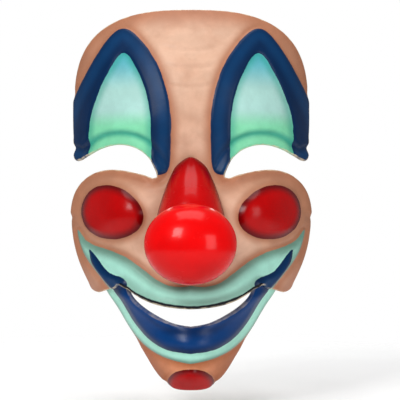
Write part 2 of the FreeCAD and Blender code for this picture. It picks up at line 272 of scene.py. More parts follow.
FACE_RUNS = [
    crown() + [(92.6, 25), (91, 9)],
    [(91, 9), (89, 4.6), (85, 5)],
    [(85, 5), (71, 12.5), (55, 16), (40, 12.5), (29.5, 3), (25, -7)],
    [(25, -7), (25.6, -10.6), (29, -11.4)],
    [(29, -11.4), (45, -7), (62, -5), (78, -9), (90, -20), (95, -36), (94, -58), (88.5, -77),
     (81, -93)],
    [(81, -93), (78.3, -98), (73, -99.5)],
    [(73, -99.5), (57, -93.5)],
    [(57, -93.5), (53, -90.4), (49, -92.5)],
    [(49, -92.5), (36, -101), (18, -106.5), (0, -108)],
]
JAW_RUNS = [
    [(0, -124), (15, -122), (32, -115), (47, -103), (54, -93), (60, -87), (66, -79), (70, -72)],
    [(70, -72), (76, -68.5), (82, -70)],
    [(82, -70), (85, -76), (84, -83), (79, -90), (72, -95)],
    [(72, -95), (63, -108), (51, -129), (37, -152), (25, -168), (13, -174), (0, -175)],
]
NOSE_HOLE = [(0, -4), (7, -9), (12, -25), (17, -45), (19, -62), (12, -75), (0, -79)]


def loop(runs, clockwise=False):
    """A closed front-view loop from the right half's runs, evenly spaced once unrolled."""
    half = np.vstack([through(r, step=0.5)[:-1] for r in runs] + [[runs[-1][-1]]])
    left = half[::-1][1:-1] * (-1, 1)
    return roll_up(wound(evenly(unroll(np.vstack([half, left]))), clockwise))


# ---- painted regions
# Each is a curve in the right half of the front view, and the left half mirrors it. The
# regions are closed curves; the edges of the eyes and lips are open ones.
EYE_PATCH = through([(17, -4), (15.5, 12), (15, 32), (18, 54), (25, 75), (37, 94), (53, 106),
                     (68, 94), (83, 71), (97, 45), (103, 10), (60, -2)], closed=True)
EYE_MINT = through([(31, -4), (30, 12), (30.5, 32), (34, 54), (42, 74), (52, 86), (62, 75),
                    (72, 55), (79, 32), (79, 12), (76, -2), (54, 2)], closed=True)
MUZZLE = through([(-24, -90), (0, -92), (22, -90), (39, -78), (56, -68.5), (74, -63), (84, -57),
                  (89.5, -51), (87.5, -62), (80, -76), (70, -88), (58, -101), (30, -116),
                  (-24, -116)], closed=True)
SMILE = through([(47, -91), (58, -84.5), (68, -76.5), (77.5, -66), (75.5, -76), (69, -86),
                 (60, -95), (50, -99)], closed=True)
EYE_UPPER = through([(91, 7), (85, 5), (71, 12.5), (55, 16), (40, 12.5), (29.5, 3), (25, -7)])
EYE_LOWER = through([(29, -11.4), (45, -7), (62, -5), (78, -9), (90, -20), (95, -36)])
UPPER_LIP = through([(51, -91.5), (36, -101), (18, -106.5), (0, -108), (-18, -106.5)])
LIP = through([(-20, -144), (0, -145), (20, -142.5), (36, -134), (48, -121), (58, -105),
               (66, -91), (58, -78), (40, -90), (20, -108), (-20, -112)], closed=True)
LIP_MARGIN = through([(-20, -151), (0, -152), (21, -149.5), (39, -141), (53, -126), (64, -108.5),
                      (75, -92), (66, -70), (40, -84), (20, -100), (-20, -104)], closed=True)
LIP_EDGE = through([(-15, -122), (0, -124), (15, -122), (32, -115), (47, -103), (54, -93),
                    (60, -87)])


def egg(centre, radii, tilt=0.0, sharp=0.12):
    """A closed oval, a little fuller at its outer end."""
    a = np.linspace(0, 2 * math.pi, 160, endpoint=False)
    x = radii[0] * np.cos(a)
    z = radii[1] * np.sin(a) * (1 + sharp * np.cos(a))
    c, s = math.cos(math.radians(tilt)), math.sin(math.radians(tilt))
    return np.stack([centre[0] + c * x - s * z, centre[1] + s * x + c * z], -1)


CHEEK = egg(centre=(61.0, -37.5), radii=(25.5, 20.5), tilt=14)
CHIN = egg(centre=(0.0, -171.0), radii=(21.0, 14.5), sharp=0.0)


def fields_from(edges, **regions):
    """A shell's fields: its distances from regions, open edges and its rim."""
    def fields_of(points, rim):
        right = np.stack([np.abs(points[:, 0]), points[:, 1]], -1)
        fields = {name: from_curve(right, curve) for name, curve in regions.items()}
        for name, curve in edges.items():
            fields[name] = from_curve(right, curve, closed=False)
        return {**fields, "rim": rim}

    return fields_of


face_fields = fields_from(
    {"eye_upper": EYE_UPPER, "eye_lower": EYE_LOWER, "lip_edge": UPPER_LIP},
    patch=EYE_PATCH, mint=EYE_MINT, cheek=CHEEK, muzzle=MUZZLE, smile=SMILE)
jaw_fields = fields_from({"lip_edge": LIP_EDGE}, lip=LIP, margin=LIP_MARGIN, chin=CHIN)

# Modelling outward from the form, in millimetres. A step is (field, height, from, to) and a
# ridge is (field, height, centre, reach).
FACE_STEPS = [("patch", 1.0, -0.8, 1.8), ("mint", -1.0, -1.8, 0.9), ("cheek", 1.6, -1.2, 6),
              ("muzzle", 1.7, -1.0, 4.5), ("smile", 1.5, -0.6, 3.2)]
FACE_RIDGES = [("patch", -0.45, -1.6, 1.3), ("cheek", -0.5, -2.0, 1.5),
               ("muzzle", -1.0, -1.8, 1.7), ("muzzle", 0.8, 3.4, 2.2),
               ("smile", -0.35, -1.2, 1.2), ("eye_upper", 1.8, 0.5, 3.2),
               ("eye_upper", -1.1, 7.0, 2.2), ("eye_upper", 0.6, 11.5, 3.0),
               ("eye_lower", 1.1, 0.5, 2.8), ("eye_lower", -0.5, 5.5, 1.8),
               ("lip_edge", 1.4, 1.0, 2.8), ("lip_edge", -0.6, 6.0, 1.8)]
JAW_STEPS = [("lip", 2.2, -0.8, 6), ("margin", 0.9, -0.8, 2.0), ("chin", 1.5, -1.0, 6)]
JAW_RIDGES = [("lip", -1.0, -1.8, 1.8), ("margin", -0.6, -1.6, 1.6),
              ("lip_edge", 0.8, 1.5, 3.0), ("chin", -0.6, -1.8, 1.6)]
FURROW_HEIGHTS = (58.0, 73.0, 87.0)


def modelled(f, steps, ridges):
    return (sum(height * rise(f[name], low, high) for name, height, low, high in steps)
            + sum(height * ridge(f[name], at, reach) for name, height, at, reach in ridges))


def face_relief(x, z, f):
    """The face's modelling, with shallow furrows across the middle of the forehead."""
    relief = modelled(f, FACE_STEPS, FACE_RIDGES)
    middle = (1 - rise(f["patch"], -7, -2)) * rise(z, 20, 40) * (1 - rise(np.abs(x), 14, 24))
    for height in FURROW_HEIGHTS:
        line = z - height - 3.0 * (np.abs(x) / 20) ** 2
        relief += (0.25 * ridge(line, 3.2, 2.0) - 0.55 * ridge(line, 0, 1.7)) * middle
    return relief


def jaw_relief(x, z, f):
    """The jaw's modelling, lower where it passes behind the face."""
    return modelled(f, JAW_STEPS, JAW_RIDGES) * (1 - 0.75 * rise(z, -104, -94))


# ---- mesh making
def add_object(name, data):
    """A new object for a mesh, lamp or camera, linked to the scene."""
    made = bpy.data.objects.new(name, data)
    bpy.context.scene.collection.objects.link(made)
    return made


def new_piece(name, vertices, faces, materials, slots=None, fields=None):
    """A mesh object from millimetre vertices, with one float attribute per field."""
    mesh = bpy.data.meshes.new(name)
    mesh.from_pydata([tuple(v) for v in np.asarray(vertices) * MM], [], faces)
    for material in materials:
        mesh.materials.append(material)
    if slots is not None:
        mesh.polygons.foreach_set("material_index", np.asarray(slots, np.int32))
    for field, values in (fields or {}).items():
        layer = mesh.attributes.new(field, "FLOAT", "POINT")
        layer.data.foreach_set("value", np.asarray(values, np.float32))
    mesh.polygons.foreach_set("use_smooth", [True] * len(mesh.polygons))
    mesh.update()
    return add_object(name, mesh)


def fill(loops):
    """Front-view points and triangles that fill an outline, less any holes in it."""
    flat_loops = [unroll(l) for l in loops]
    outer = flat_loops[0]
    low, high = outer.min(0), outer.max(0)
    rows = np.arange(low[1], high[1], STEP * ROW_SHARE)
    grid = [(x + (k % 2) * STEP / 2, z) for k, z in enumerate(rows)
            for x in np.arange(low[0], high[0], STEP)]
    grid = np.array(grid)
    room = from_curve(grid, outer)
    for hole in flat_loops[1:]:
        room = np.minimum(room, -from_curve(grid, hole))
    grid = grid[room > STEP * EDGE_ROOM]
    flat = np.vstack(flat_loops + [grid])
    edges, start = [], 0
    for l in flat_loops:
        n = len(l)
        edges += [(start + i, start + (i + 1) % n) for i in range(n)]
        start += n
    made = delaunay_2d_cdt([Vector(p) for p in flat], edges, [], 0, 1e-7)
    triangles = np.array(made[2])
    source = np.array([o[0] for o in made[3]])
    triangles = source[triangles]
    centres = flat[triangles].mean(1)
    keep = from_curve(centres, outer) > 0
    for hole in flat_loops[1:]:
        keep &= from_curve(centres, hole) < 0
    return roll_up(flat), triangles[keep]


RIM_ROWS, PAINTED_ROWS, RIM_BULGE = 6, 5, 0.8


def moulded(name, loops, fields_of, surfaces_of, materials):
    """A closed shell between two surfaces over the same outline, with a rounded rim.

    surfaces_of(x, z, fields) gives the outer and inner points. The first material is the
    outside, the second the inside.
    """
    points, triangles = fill(loops)
    count = len(points)
    rim = np.minimum.reduce([np.abs(from_curve(points, l)) for l in loops])
    fields = fields_of(points, rim)
    x, z = points.T
    top, bottom = surfaces_of(x, z, fields)
    normals = outward(x, z)
    vertices = [top, bottom]
    faces = [tuple(t) for t in triangles] + [tuple(t[::-1] + count) for t in triangles]
    slots = [0] * len(triangles) + [1] * len(triangles)
    index = np.arange(count)
    sources = [index, index]
    total, start = 2 * count, 0
    for l in loops:
        n = len(l)
        ring = start + np.arange(n)
        ahead = top[np.roll(ring, -1)] - top[np.roll(ring, 1)]
        side = np.cross(ahead, normals[ring])
        side /= np.linalg.norm(side, axis=1, keepdims=True)
        middle = (top[ring] + bottom[ring]) / 2
        half = (top[ring] - bottom[ring]) / 2
        bulge = RIM_BULGE * np.linalg.norm(half, axis=1, keepdims=True) * side
        rows = [ring]
        for k in range(1, RIM_ROWS):
            a = math.pi * k / RIM_ROWS
            vertices.append(middle + half * math.cos(a) + bulge * math.sin(a))
            rows.append(total + np.arange(n))
            sources.append(ring)
            total += n
        rows.append(ring + count)
        for k in range(RIM_ROWS):
            a, b = rows[k], rows[k + 1]
            a2, b2 = np.roll(a, -1), np.roll(b, -1)
            faces += list(zip(a.tolist(), b.tolist(), b2.tolist(), a2.tolist()))
            slots += [0 if k < PAINTED_ROWS else 1] * n
        start += n
    source = np.concatenate(sources)
    fields = {key: value[source] for key, value in fields.items()}
    return new_piece(name, np.vstack(vertices), faces, materials, slots, fields)


# ---- shading helpers
def srgb(red, green, blue):
    """A colour in display values, 0 to 255, as linear values."""
    def linear(c):
        c /= 255
        return c / 12.92 if c <= 0.04045 else ((c + 0.055) / 1.055) ** 2.4
    return (linear(red), linear(green), linear(blue), 1.0)


class Shader:
    """Builds one Principled material, node by node."""

    def __init__(self, name, **settings):
        self.material = bpy.data.materials.new(name)
        self.material.use_nodes = True
        self.tree = self.material.node_tree
        self.surface = self.tree.nodes["Principled BSDF"]
        self.fill(self.surface, {key.replace("_", " "): v for key, v in settings.items()})
        self.position = self.tree.nodes.new("ShaderNodeTexCoord").outputs["Object"]

    def fill(self, node, values):
        """Puts each value or link into the node's input of that name or number."""
        for key, value in values.items():
            if isinstance(value, bpy.types.NodeSocket):
                self.tree.links.new(value, node.inputs[key])
            elif value is not None:
                node.inputs[key].default_value = value
        return node

    def node(self, kind, values, **settings):
        made = self.tree.nodes.new("ShaderNode" + kind)
        for key, value in settings.items():
            setattr(made, key, value)
        return self.fill(made, values)

    def field(self, name):
        return self.node("Attribute", {}, attribute_name=name).outputs["Fac"]

    def xyz(self):
        return self.node("SeparateXYZ", {0: self.position}).outputs

    def math(self, operation, a, b=0.0):
        return self.node("Math", {0: a, 1: b}, operation=operation).outputs[0]

    def times(self, first, *others):
        for other in others:
            first = self.math("MULTIPLY", first, other)
        return first

    def away(self, field, value):
        """How far a field is from a value, either way."""
        return self.math("ABSOLUTE", self.math("SUBTRACT", self.field(field), value))

    def step(self, value, low, high, to_low=0.0, to_high=1.0):
        """A soft step of value between low and high."""
        values = dict(enumerate((value, low, high, to_low, to_high)))
        return self.node("MapRange", values, interpolation_type="SMOOTHSTEP").outputs[0]

    def mix(self, share, a, b, blend="MIX"):
        values = {0: share, 6: a, 7: b}
        return self.node("Mix", values, data_type="RGBA", blend_type=blend).outputs[2]

    def mix_value(self, share, a, b):
        return self.node("Mix", {0: share, 2: a, 3: b}).outputs[0]

    def noise(self, size, detail=2.0, rough=0.5, stretch=(1, 1, 1)):
        """Noise from 0 to 1 whose features are about size millimetres."""
        place = self.node("Mapping", {"Vector": self.position, "Scale": stretch})
        values = {"Vector": place.outputs[0], "Scale": 1 / (size * MM), "Detail": detail,
                  "Roughness": rough}
        return self.node("TexNoise", values).outputs["Fac"]

    def cells(self, size):
        values = {"Vector": self.position, "Scale": 1 / (size * MM)}
        return self.node("TexVoronoi", values).outputs["Distance"]

    def ramp(self, value, stops):
        node = self.node("ValToRGB", {0: value})
        ramp = node.color_ramp
        ramp.interpolation = "EASE"
        for k, (at, colour) in enumerate(stops):
            stop = ramp.elements[k] if k < 2 else ramp.elements.new(at)
            stop.position, stop.color = at, colour
        return node.outputs[0]

    def bump(self, height, depth, before=None):
        """Relief of depth millimetres per unit of height."""
        values = {"Distance": depth * MM, "Height": height, "Normal": before}
        return self.node("Bump", values).outputs[0]

    def finish(self, colour, roughness, normal=None):
        self.fill(self.surface, {"Base Color": colour, "Roughness": roughness, "Normal": normal})
        return self.material


# ---- paint
PEACH, PEACH_SHADE = srgb(220, 178, 152), srgb(180, 120, 90)
JAW_PEACH, JAW_SHADE = srgb(228, 150, 108), srgb(166, 94, 56)
# NAVY_SHEEN is a painted sheen: a lighter navy laid where the satin paint catches the light.
NAVY, NAVY_SHEEN = srgb(0, 38, 78), srgb(6, 64, 112)
MINT_TOP, MINT_MID, MINT_LID = srgb(86, 178, 192), srgb(174, 218, 210), srgb(132, 222, 176)
TEAL = srgb(34, 160, 140)
MUZZLE_MINT, MUZZLE_SHADE = srgb(168, 226, 208), srgb(112, 152, 136)
CHEEK_RED, CHEEK_DARK = srgb(182, 0, 2), srgb(96, 0, 4)
RAW_LATEX, RAW_DARK = srgb(226, 208, 176), srgb(206, 182, 142)
# LIP_SHEEN is a painted sheen on the lower lip's navy.
LIP_NAVY, LIP_SHEEN = srgb(0, 36, 82), srgb(0, 56, 116)
BLACK_EDGE = srgb(12, 16, 26)
PANEL_FOOT, PANEL_TOP = 4, 92    # the eye panel's colours fade between these heights


def brushed_edge(s, field, amount=0.55):
    """A paint edge with the slight wander of a hand-held brush."""
    wander = s.math("SUBTRACT", s.noise(9, 2.0), 0.5)
    fine = s.math("SUBTRACT", s.noise(1.6, 1.0), 0.5)
    shift = s.math("ADD", s.times(wander, amount * 2), s.times(fine, amount * 0.5))
    return s.math("ADD", s.field(field), shift)


def coat(s, below, field, colour, roughness):
    """Lays one brushed region over what is below; below is (colour, roughness)."""
    mask = s.step(brushed_edge(s, field), -0.22, 0.22)
    return s.mix(mask, below[0], colour), s.mix_value(mask, below[1], roughness)


def worn_rim(s, below, share):
    """Paint that has rubbed thin on the cut edge."""
    worn = s.math("ADD", s.field("rim"), s.times(s.noise(6, 2.0), -1.3))
    mask = s.step(worn, -0.95, -0.3, share, 0.0)
    return s.mix(mask, below[0], RAW_LATEX), s.mix_value(mask, below[1], 0.55)


MOTTLE = 0.07            # how much a sprayed colour varies


def mottle(s, colour, size=14):
    """Slow and fine variation of a sprayed colour."""
    slow = s.step(s.noise(size, 3.0, 0.6), 0.35, 0.68, 1 - MOTTLE, 1 + MOTTLE * 0.4)
    fine = s.step(s.noise(0.7, 1.0), 0.3, 0.7, 1 - MOTTLE * 0.35, 1.0)
    return s.mix(1.0, colour, s.times(slow, fine), "MULTIPLY")


def sprayed(s, paint, wear):
    """The finished paint: mottled, worn at the rim, uneven in gloss, with orange peel."""
    colour, roughness = worn_rim(s, (mottle(s, paint[0]), paint[1]), wear)
    rough = s.math("ADD", roughness, s.step(s.noise(18, 3.0), 0.3, 0.7, -0.03, 0.06))
    return s.finish(colour, rough, s.bump(s.noise(7.0, 2.0), 0.10, s.bump(s.noise(1.1, 2.0), 0.05)))


def face_paint():
    s = Shader("face_paint", Specular_IOR_Level=0.18)
    light = s.step(s.field("rim"), 0.0, 20.0)
    for region, reach in (("patch", 9.0), ("muzzle", 8.0), ("cheek", 7.0)):
        light = s.times(light, s.step(s.field(region), -reach, 0.5, 1.0, 0.0))
    light = s.times(light, s.step(s.noise(26, 3.0, 0.6), 0.28, 0.6, 0.7, 1.0))
    paint = s.mix(light, PEACH_SHADE, PEACH), 0.40

    # painted sheen: a lighter navy band a little inside the panel's border
    navy = s.mix(s.step(s.away("patch", 6.0), 0.5, 7.0), NAVY_SHEEN, NAVY)
    paint = coat(s, paint, "patch", s.mix(0.45, navy, NAVY), 0.36)
    up = s.step(s.xyz()[2], PANEL_FOOT * MM, PANEL_TOP * MM)
    panel = s.ramp(up, [(0.0, MINT_LID), (1.0, MINT_TOP), (0.16, MINT_LID), (0.42, MINT_MID),
                        (0.62, MINT_MID)])
    panel = s.mix(s.step(s.away("eye_upper", 8.0), 0.0, 4.5, 0.8, 0.0), panel, TEAL)
    panel = s.mix(s.step(s.field("mint"), 0.0, 7.0, 0.55, 0.0), panel, TEAL)
    paint = coat(s, paint, "mint", panel, 0.36)

    muzzle = s.mix(s.step(s.field("muzzle"), 0.5, 9.0), MUZZLE_SHADE, MUZZLE_MINT)
    muzzle = s.mix(s.step(s.field("lip_edge"), 3.0, 8.5, 0.55, 0.0), muzzle, MUZZLE_SHADE)
    paint = coat(s, paint, "muzzle", muzzle, 0.34)
    red = s.mix(s.step(s.field("cheek"), 0.0, 8.0), CHEEK_DARK, CHEEK_RED)
    paint = coat(s, paint, "cheek", red, 0.20)
    # painted sheen: lighter navy along the middle of the smile lines
    smile = s.mix(s.step(s.field("smile"), 0.5, 4.5), NAVY, NAVY_SHEEN)
    paint = coat(s, paint, "smile", s.mix(0.5, smile, NAVY), 0.32)
    lip_line = s.step(brushed_edge(s, "lip_edge", 0.5), 1.5, 2.1, 1.0, 0.0)
    paint = s.mix(lip_line, paint[0], BLACK_EDGE), s.mix_value(lip_line, paint[1], 0.25)
    return sprayed(s, paint, 0.75)


def jaw_paint():
    s = Shader("jaw_paint", Specular_IOR_Level=0.18)
    light = s.times(s.step(s.field("rim"), 0.0, 15.0),
                    s.step(s.field("margin"), -9.0, 0.5, 1.0, 0.15),
                    s.step(s.noise(22, 3.0, 0.6), 0.28, 0.6, 0.65, 1.0))
    paint = s.mix(light, JAW_SHADE, JAW_PEACH), 0.38
    margin = s.mix(s.step(s.field("margin"), 0.3, 4.0), MUZZLE_SHADE, MUZZLE_MINT)
    paint = coat(s, paint, "margin", margin, 0.34)
    # painted sheen: a lighter band across the lip, inside its border
    lip = s.mix(s.step(s.away("lip", 10.0), 1.0, 9.0), LIP_SHEEN, LIP_NAVY)
    paint = coat(s, paint, "lip", lip, 0.32)
    chin = s.mix(s.step(s.field("chin"), 0.0, 7.0), CHEEK_DARK, CHEEK_RED)
    paint = coat(s, paint, "chin", chin, 0.16)
    return sprayed(s, paint, 0.25)


def raw_latex():
    """The unpainted inside: pale, matt, poured in layers, with overspray at the edges."""
    s = Shader("raw_latex", Specular_IOR_Level=0.35)
    pour = s.noise(34, 4.0, 0.55, (1, 1, 0.7))
    colour = s.mix(s.step(pour, 0.35, 0.7), RAW_LATEX, RAW_DARK)
    over = s.math("ADD", s.field("rim"), s.times(s.noise(5, 3.0), -9.0))
    colour = s.mix(s.step(over, -4.0, 1.5, 0.45, 0.0), colour, PEACH_SHADE)
    spots = s.step(s.cells(3.2), 0.06, 0.16, 0.35, 0.0)
    colour = s.mix(spots, colour, RAW_DARK)
    grain = s.bump(s.noise(0.8, 2.0), 0.10)
    grain = s.bump(s.noise(6.0, 4.0, 0.6), 0.5, grain)
    return s.finish(colour, s.step(pour, 0.3, 0.7, 0.5, 0.68), grain)


def nose_paint(name, bright, dark, roughness):
    """Wet-look red with painted shade: darker in the hollows, towards the glued edge and on the
    underside.
    """
    s = Shader(name, Specular_IOR_Level=0.12, Coat_Weight=0.16, Coat_Roughness=0.07)
    # painted shade: the red darkens towards the glued edge, where the nose meets the face
    body = s.mix(s.step(s.field("rim"), 0.5, 11.0), dark, bright)
    pale = s.step(s.math("ADD", s.field("rim"), s.times(s.noise(5, 2.0), -0.7)),
                  0.25, 0.6, 0.9, 0.0)
    body = s.mix(pale, body, srgb(214, 170, 158))
    # painted shade: the lower part of the nose is darker
    painted_underside_shade = s.step(s.xyz()[2], (NOSE_Z - 30) * MM, (NOSE_Z + 10) * MM, 0.45, 0.0)
    body = mottle(s, s.mix(painted_underside_shade, body, dark), 20)
    relief = s.bump(s.noise(9.0, 2.0), 0.16)
    rough = s.step(s.noise(16, 3.0), 0.35, 0.7, roughness, roughness + 0.08)
    return s.finish(body, rough, relief)


def foam():
    s = Shader("foam", Specular_IOR_Level=0.2)
    pores = s.cells(0.9)
    # painted shade: the foam is darker in its open cells
    colour = s.mix(s.step(pores, 0.1, 0.5), srgb(18, 18, 20), srgb(66, 66, 70))
    colour = s.mix(s.step(s.noise(9, 2.0), 0.35, 0.7, 0.0, 0.35), colour, srgb(84, 82, 82))
    return s.finish(colour, 0.9, s.bump(pores, 0.55, s.bump(s.noise(4, 2.0), 0.25)))


RIB_PITCH, PICK_PITCH = 1.6, 1.1


def elastic():
    """Ribbed woven elastic: lengthwise ribs crossed by fine picks."""
    s = Shader("elastic", Specular_IOR_Level=0.25, Sheen_Weight=0.25, Sheen_Roughness=0.5)
    ribs = s.math("SINE", s.times(s.field("across"), 2 * math.pi / RIB_PITCH))
    half_turn = s.times(s.step(ribs, -0.1, 0.1), math.pi)
    woven = s.times(s.field("along"), 2 * math.pi / PICK_PITCH)
    picks = s.math("SINE", s.math("ADD", woven, half_turn))
    height = s.math("ADD", s.times(s.math("ABSOLUTE", ribs), 0.7), s.times(picks, 0.3))
    # painted shade: darker in the grooves of the weave, lighter on the tops of ribs and picks
    colour = s.mix(s.step(height, -0.1, 0.9), srgb(12, 12, 14), srgb(48, 48, 54))
    fuzz = s.step(s.noise(0.35, 2.0), 0.45, 0.75, 0.0, 0.4)
    colour = s.mix(fuzz, colour, srgb(74, 74, 80))
    return s.finish(colour, 0.82, s.bump(height, 0.16, s.bump(s.noise(0.3, 1.0), 0.04)))


def thread():
    s = Shader("thread", Specular_IOR_Level=0.3)
    ply = s.noise(0.25, 1.0, stretch=(1, 1, 4))
    # painted shade: the thread is lighter where its plies stand up, darker between them
    return s.finish(s.mix(ply, srgb(60, 60, 64), srgb(120, 118, 116)), 0.7, s.bump(ply, 0.05))


def rubber_ring():
    s = Shader("rubber_ring", Specular_IOR_Level=0.4)
    blotch = s.noise(3, 3.0)
    colour = s.mix(s.step(blotch, 0.35, 0.7), srgb(196, 160, 112), srgb(150, 112, 70))
    return s.finish(colour, 0.55, s.bump(s.noise(0.5, 2.0), 0.04))


def moulded_plastic():
    s = Shader("moulded_plastic", Specular_IOR_Level=0.5)
    texture = s.noise(0.4, 2.0)
    colour = s.mix(s.step(s.noise(5, 3.0), 0.3, 0.7), srgb(20, 20, 22), srgb(34, 34, 37))
    rough = s.step(s.noise(2.5, 3.0), 0.3, 0.7, 0.38, 0.56)
    return s.finish(colour, rough, s.bump(texture, 0.03))


def spring_steel():
    s = Shader("spring_steel", Metallic=1.0)
    drawn = s.noise(0.6, 3.0, stretch=(1, 1, 8))
    colour = s.mix(s.step(drawn, 0.3, 0.7), srgb(150, 152, 156), srgb(196, 198, 202))
    return s.finish(colour, s.step(drawn, 0.3, 0.7, 0.26, 0.42), s.bump(drawn, 0.01))


FACE_PAINT, JAW_PAINT, RAW = face_paint(), jaw_paint(), raw_latex()
BRIDGE_PAINT = nose_paint("bridge_paint", srgb(196, 0, 2), srgb(116, 0, 4), 0.24)
BALL_PAINT = nose_paint("ball_paint", srgb(236, 0, 2), srgb(150, 0, 4), 0.20)
FOAM, ELASTIC, THREAD = foam(), elastic(), thread()
RUBBER, PLASTIC, STEEL = rubber_ring(), moulded_plastic(), spring_steel()


# ---- moulded shells
def walls(depth, wall, relief_of, follow):
    """A shell's two surfaces; the inner one follows this share of the outer one's relief."""
    def surfaces(x, z, f):
        relief = relief_of(x, z, f)
        return under_skin(x, z, depth - relief), under_skin(x, z, depth + wall - follow * relief)

    return surfaces


def ear_hole(side):
    """The hole in the jaw's wall that the hinge ear fills."""
    a = np.linspace(0, 2 * math.pi, 24, endpoint=False)
    y, z = HINGE_Y + EAR_HOLE_R * np.cos(a), HINGE_Z + EAR_HOLE_R * np.sin(a)
    return wound(np.stack([side * side_x(y, z, JAW_DEPTH), z], -1), clockwise=True)


def make_shells():
    face = moulded("painted_face", [loop(FACE_RUNS), loop([NOSE_HOLE], clockwise=True)],
                   face_fields, walls(0, WALL, face_relief, 0.7), [FACE_PAINT, RAW])
    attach(face, "face")
    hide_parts("face_shell")
    jaw = moulded("painted_jaw", [loop(JAW_RUNS), ear_hole(1), ear_hole(-1)],
                  jaw_fields, walls(JAW_DEPTH, JAW_WALL, jaw_relief, 0.6), [JAW_PAINT, RAW])
    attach(jaw, "jaw")
    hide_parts("jaw_shell")


# ---- nose
def grid_faces(rows, columns, wrap=False):
    """Quads of a grid of vertices, row after row."""
    faces = []
    for r in range(rows - 1):
        for c in range(columns if wrap else columns - 1):
            d = (c + 1) % columns
            faces.append((r * columns + c, r * columns + d,
                          (r + 1) * columns + d, (r + 1) * columns + c))
    return faces


def end_caps(rows, columns):
    """The faces that close a wrapped grid's first and last rows."""
    last = (rows - 1) * columns
    return [tuple(range(columns))[::-1], tuple(range(last, last + columns))]


def make_bridge():
    """The glued-on ridge from the nose root down to the ball's flat seat."""
    half_of = smooth([(-83, 15), (-74, 24), (-62, 28), (-50, 28), (-34, 25), (-18, 20),
                      (-5, 15), (5, 10)])
    rise_of = smooth([(-83, 16), (-74, 30), (-62, 36), (-50, 34), (-34, 28), (-18, 20),
                      (-5, 11), (5, 5)])
    top, foot, buried = 5.0, -84.0, 10      # the ridge's form starts this far behind the face
    rows, columns = 90, 64
    z = np.repeat(np.linspace(top, foot, rows), columns)
    a = np.tile(np.radians(np.linspace(-90, 90, columns)), rows)
    from_end = np.minimum((top + 0.4 - z) / 9, (z - foot + 0.6) / 5)
    ends = np.sqrt(1 - (1 - np.clip(from_end, 0, 1)) ** 2)

    def skin(shrink):
        across = np.maximum(half_of(z) - shrink, 1.5) * ends
        out = np.maximum(rise_of(z) + buried - shrink, 3.0)
        x = across * np.sin(a)
        y = face_y(0 * z, z) + buried - out * np.cos(a) ** 0.9
        y = np.minimum(y, face_y(x, z) + 1.3)
        seat = SEAT_Y + shrink
        y = seat + np.logaddexp(0, (y - seat) / 0.9) * 0.9
        return np.stack([x, y, z], -1)

    outer, inner = skin(0.0), skin(2.0)
    rim = np.clip(face_y(outer[:, 0], outer[:, 2]) - outer[:, 1], 0, 40) * 0.8
    faces = [f[::-1] for f in grid_faces(rows, columns)]
    count = rows * columns
    faces += [tuple(i + count for i in f) for f in grid_faces(rows, columns)]
    border = (list(range(columns)) + [r * columns + columns - 1 for r in range(1, rows)]
              + [(rows - 1) * columns + c for c in range(columns - 2, -1, -1)]
              + [r * columns for r in range(rows - 2, 0, -1)])
    for p, q in zip(border, border[1:] + border[:1]):
        faces.append((p, q, q + count, p + count))
    slots = [1 if min(f) >= count else 0 for f in faces]
    bridge = new_piece("glossy_bridge", np.vstack([outer, inner]), faces, [BRIDGE_PAINT, RAW],
                       slots, {"rim": np.concatenate([rim, rim])})
    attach(bridge, "face")
    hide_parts("nose_bridge")


def make_ball():
    """The hollow ball: an ellipsoid with a rolled edge, a flat seat and a blind neck."""
    rx, ry, rz = BALL
    seat = SEAT_Y - GAP
    angle = math.acos(-(seat - BALL_Y) / ry)
    profile = [(math.sin(t), BALL_Y - ry * math.cos(t))
               for t in np.linspace(0.012, angle - 0.05, 60)]
    edge = math.sin(angle)
    profile += [(edge - 0.005, seat - 0.35), (edge - 0.025, seat - 0.08), (edge - 0.06, seat)]
    neck, neck_end = 11.8 / rx, SEAT_Y + 6.7
    profile += [(neck + 0.1, seat), (neck, seat + 0.3), (neck, neck_end - 0.6),
                (neck - 0.02, neck_end), (0.1, neck_end), (0.004, neck_end)]
    columns = 128
    a = np.linspace(0, 2 * math.pi, columns, endpoint=False)
    vertices, rim = [], []
    for r, y in profile:
        flat = rz / rx if y < seat + 0.2 else 1.0
        vertices.append(np.stack([rx * r * np.sin(a), np.full(columns, y),
                                  NOSE_Z + rx * flat * r * np.cos(a)], -1))
        rim += [max(seat - y, 0.0) * 1.4 if y <= seat else 0.0] * columns
    faces = grid_faces(len(profile), columns, wrap=True) + end_caps(len(profile), columns)
    ball = new_piece("glossy_ball", np.vstack(vertices), faces, [BALL_PAINT],
                     fields={"rim": rim})
    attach(ball, "face")
    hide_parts("nose_ball")


# ---- foam
def pad(name, node, outline, top, body, back_of, edge):
    """A foam block pressed to the wall, with its back edges rounded over."""
    def surfaces(x, z, f):
        front = under_skin(x, z, np.full_like(x, top))
        crowned = np.sqrt(1 - (1 - np.clip(f["rim"] / edge, 0, 1)) ** 2)
        dimple = 0.35 * np.sin(x * 0.9) * np.sin(z * 0.8)
        thickness, way = back_of(front, x, z)
        deep = 0.5 + (thickness - 0.5 + dimple) * crowned
        return front, front + deep[:, None] * way

    piece = moulded(name, [outline], lambda points, rim: {"rim": rim}, surfaces, [FOAM, FOAM])
    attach(piece, body)
    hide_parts(node)


def ring(points, side=0):
    """A closed loop through points: mirrored about x = 0, or on one side only."""
    if side == 0:
        points = points + [(-x, z) for x, z in reversed(points) if x > 0]
    return wound(through([(x * (side or 1), z) for x, z in points], closed=True, step=STEP))


SHEET_FOAM = 7.0         # thickness of the brow and cheek pads


def sheet(front, x, z):
    """Sheet foam, square to the wall."""
    return np.full_like(x, SHEET_FOAM), -outward(x, z)


HOLLOW_RX, HOLLOW_RY, HOLLOW_RZ, HOLLOW_BLEND = 21, 22, 11.5, 1.2
HOLLOW_REAR_Y, HOLLOW_Z = 8, -151.5


